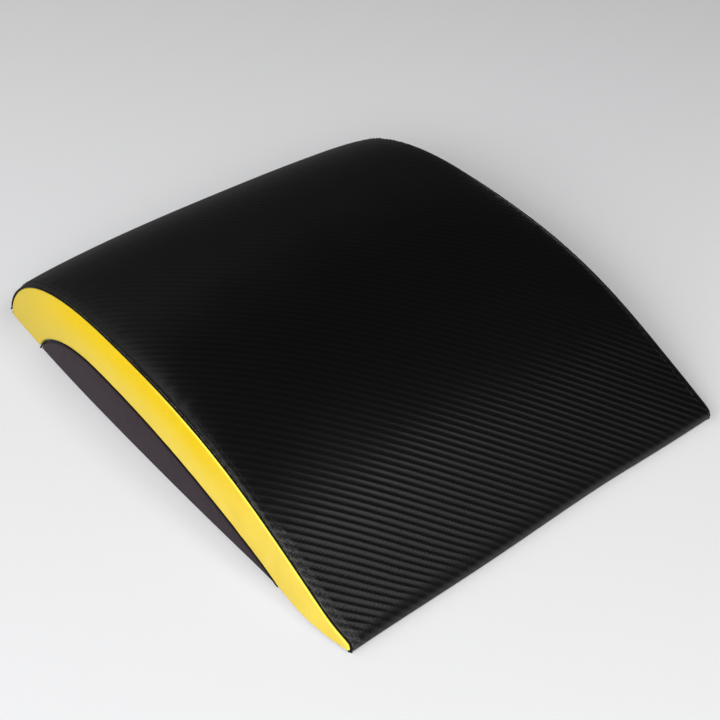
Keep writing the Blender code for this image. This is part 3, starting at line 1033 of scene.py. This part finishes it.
def makeBase():
    bpy.ops.mesh.primitive_plane_add(size=1)
    sheet = added("base_sheet")
    editing(sheet, "VERT")
    bpy.ops.mesh.select_all(action="SELECT")
    wide, long = shape["width"] - 2 * base["inset"], shape["length"] - 2 * base["inset"]
    bpy.ops.transform.resize(value=(wide, long, 1))
    bpy.ops.mesh.bevel(offset=base["cornerRadius"], segments=base["cornerSteps"], affect="VERTICES")
    bpy.ops.mesh.select_mode(type="EDGE")
    pick(sheet, "edges", lambda edge: math.dist(*[sheet.data.vertices[i].co for i in edge.vertices]) > 0.1)
    bpy.ops.mesh.subdivide(number_cuts=base["sideCuts"])
    bpy.ops.object.mode_set(mode="OBJECT")
    setPoints(sheet, bowed(points(sheet)))
    editing(sheet, "FACE")
    bpy.ops.mesh.select_all(action="SELECT")
    bpy.ops.mesh.inset(thickness=base["channelInset"])
    bpy.ops.mesh.inset(thickness=base["channelWidth"] / 4)
    bpy.ops.transform.translate(value=(0, 0, base["channelDepth"]))
    bpy.ops.mesh.inset(thickness=base["channelWidth"] / 2)
    bpy.ops.mesh.inset(thickness=base["channelWidth"] / 4)
    bpy.ops.transform.translate(value=(0, 0, -base["channelDepth"]))
    bpy.ops.mesh.select_all(action="SELECT")
    bpy.ops.mesh.flip_normals()  # its underside is the face that shows
    bpy.ops.object.mode_set(mode="OBJECT")
    applied(sheet, "SOLIDIFY", thickness=base["thickness"] - base["channelDepth"] * 0.4, offset=-1)
    return smooth(sheet, 35)


def baseRow():
    ring = []
    inset = base["inset"] + base["channelInset"] + base["channelWidth"] / 2
    wide, long = halfWidth - inset, halfLength - inset
    radius = max(base["cornerRadius"] - base["channelInset"] - base["channelWidth"] / 2, 0.001)
    for turn in range(4):
        signX, signY = ((1, -1), (1, 1), (-1, 1), (-1, -1))[turn]
        centre = (signX * (wide - radius), signY * (long - radius))
        for k in range(base["cornerSteps"] + 1):
            angle = math.pi / 2 * (turn - 1 + k / base["cornerSteps"])
            ring.append((centre[0] + radius * math.cos(angle), centre[1] + radius * math.sin(angle)))
    ring.append(ring[0])
    line = spaced(np.array(ring), base["stitchPitch"])[:-1]
    level = line[:, 0] * 0 + base["channelDepth"] - stitch["radius"] * stitch["baseRaised"]
    return bowed(np.column_stack([line, level])), [np.array((0, 0, -1.0))] * len(line)


baseSheet = makeBase()
wear(baseSheet, gripVinyl(), ["base_cover"])
places, ups = baseRow()
wear(sewRow("base_stitches", places, ups, oneStitch), threadFinish, ["base_stitching"])
bpy.data.objects.remove(oneStitch)
print("base sewn")


# The foam block inside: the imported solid, remeshed, swelled a little and kept clear of its covers.

foam = {"voxel": 0.005, "clear": 0.0010, "pressure": 4.0, "travel": 0.0006}


def makeFoam():
    source = frame["nodes"]["foam_core"]
    block = source.copy()
    block.data = source.data.copy()
    for key in list(block.keys()):
        del block[key]
    bpy.context.collection.objects.link(block)
    block.parent = None
    block.name = block.data.name = "foam_block"
    editing(block)
    bpy.ops.mesh.select_all(action="SELECT")
    bpy.ops.mesh.remove_doubles(threshold=1e-5)
    bpy.ops.object.mode_set(mode="OBJECT")
    applied(block, "REMESH", mode="VOXEL", voxel_size=foam["voxel"])
    setPoints(block, points(block) - normals(block) * (foam["clear"] + foam["travel"]))
    swell(block, foam["pressure"], np.full(len(block.data.vertices), foam["travel"]),
          points(block)[:, 2] < curlLevel)
    applied(block, "SUBSURF", levels=1, render_levels=1)
    return smooth(block, 60)


foamBlock = makeFoam()
wear(foamBlock, openFoam(), ["foam_core"])
print("foam cut")


# The studio: a pale floor, six soft boxes of light, a faint light from all round, and the camera.

studio = {
    "floorSize": 9.0, "floor": (0.80, 0.802, 0.822), "world": 0.058,
    "lens": 69.92, "sensor": 36.0, "azimuth": -38.986, "elevation": 37.230, "distance": 1.0208,
    "target": (0.0648, 0.0621, 0.0), "shift": (-0.0016, -0.105),
}
lights = {  # place, size, watts
    "keyBox": ((0.15, -1.0, 1.3), (0.6, 0.6), 6.5),
    "leftFrontBox": ((-1.3, -1.0, 1.4), (1.4, 1.4), 7.7),
    "leftBox": ((-1.9, -0.1, 1.1), (1.4, 1.4), 21.2),
    "frontBox": ((-0.3, -2.0, 1.1), (1.6, 1.2), 7.6),
    "backLeftBox": ((-1.1, 1.4, 1.6), (1.4, 1.4), 10.0),
    "farBox": ((-2.6, -2.6, 2.4), (2.2, 2.2), 91.0),
}


def aimed(thing, place, target):
    thing.location = place
    thing.rotation_euler = (Vector(target) - Vector(place)).to_track_quat("-Z", "Y").to_euler()


def makeStudio():
    bpy.ops.mesh.primitive_plane_add(size=studio["floorSize"])
    floor = added("floor")
    finish = Finish("pale_floor")
    mottle = finish.noise(2.0, 1)
    finish.set(BaseColor=finish.mix(mottle, studio["floor"], (0.82, 0.82, 0.82)), Roughness=0.85,
               SpecularIORLevel=0.2)
    floor.data.materials.append(finish.material)
    for name, (place, size, power) in lights.items():
        bpy.ops.object.light_add(type="AREA")
        lamp = added(name)
        lamp.data.shape = "RECTANGLE"
        lamp.data.size, lamp.data.size_y = size
        lamp.data.energy = power
        aimed(lamp, place, (0, 0, 0))
    world = bpy.context.scene.world or bpy.data.worlds.new("studio")
    bpy.context.scene.world = world
    world.use_nodes = True
    world.node_tree.nodes["Background"].inputs[0].default_value = (1, 1, 1, 1)
    world.node_tree.nodes["Background"].inputs[1].default_value = studio["world"]
    bpy.ops.object.camera_add()
    camera = added("camera")
    turn, rise = math.radians(studio["azimuth"]), math.radians(studio["elevation"])
    back = Vector((math.sin(turn) * math.cos(rise), -math.cos(turn) * math.cos(rise), math.sin(rise)))
    target = Vector(studio["target"])
    aimed(camera, target + back * studio["distance"], target)
    camera.data.lens = studio["lens"]
    camera.data.sensor_width = studio["sensor"]
    camera.data.shift_x, camera.data.shift_y = studio["shift"]
    camera.data.clip_start, camera.data.clip_end = 0.01, 100
    bpy.context.scene.camera = camera
    bpy.context.scene.view_settings.view_transform = "Standard"


def nearFront(places, reach):  # from 0 at this distance behind the thin edge to 1 at it
    return np.clip((reach - halfLength - places[:, 1]) / reach, 0, 1.1) ** 2


def bowFront(piece):  # the thin edge waves, and its corners run out and are drawn in
    places = points(piece)
    drawn = nearFront(places, shape["cornerReach"])
    wavy = np.full(len(places), shape["edgeBow"][0])
    for height, (middle, reach) in zip(shape["edgeBow"][1:], shape["edgeLobes"]):
        offset = np.clip((places[:, 0] / halfWidth - middle) / reach, -1, 1)
        wavy += height * np.cos(math.pi / 2 * offset) ** 2
    pull = np.where(places[:, 0] < 0, *shape["cornerPull"]) * drawn
    places[:, 0] -= pull * np.clip(places[:, 0] / halfWidth * shape["cornerSpread"], -1, 1)
    near = nearFront(places, shape["edgeReach"])
    corner = np.clip(np.abs(places[:, 0]) / halfWidth, 0, 1) ** shape["bowPower"]
    places[:, 1] -= shape["frontBow"] * near * corner
    places[:, 1] -= wavy * near
    setPoints(piece, places)


for piece in bpy.context.scene.objects:
    if piece.type == "MESH" and piece.name in visualPieces:
        bowFront(piece)
makeStudio()
print("studio lit")
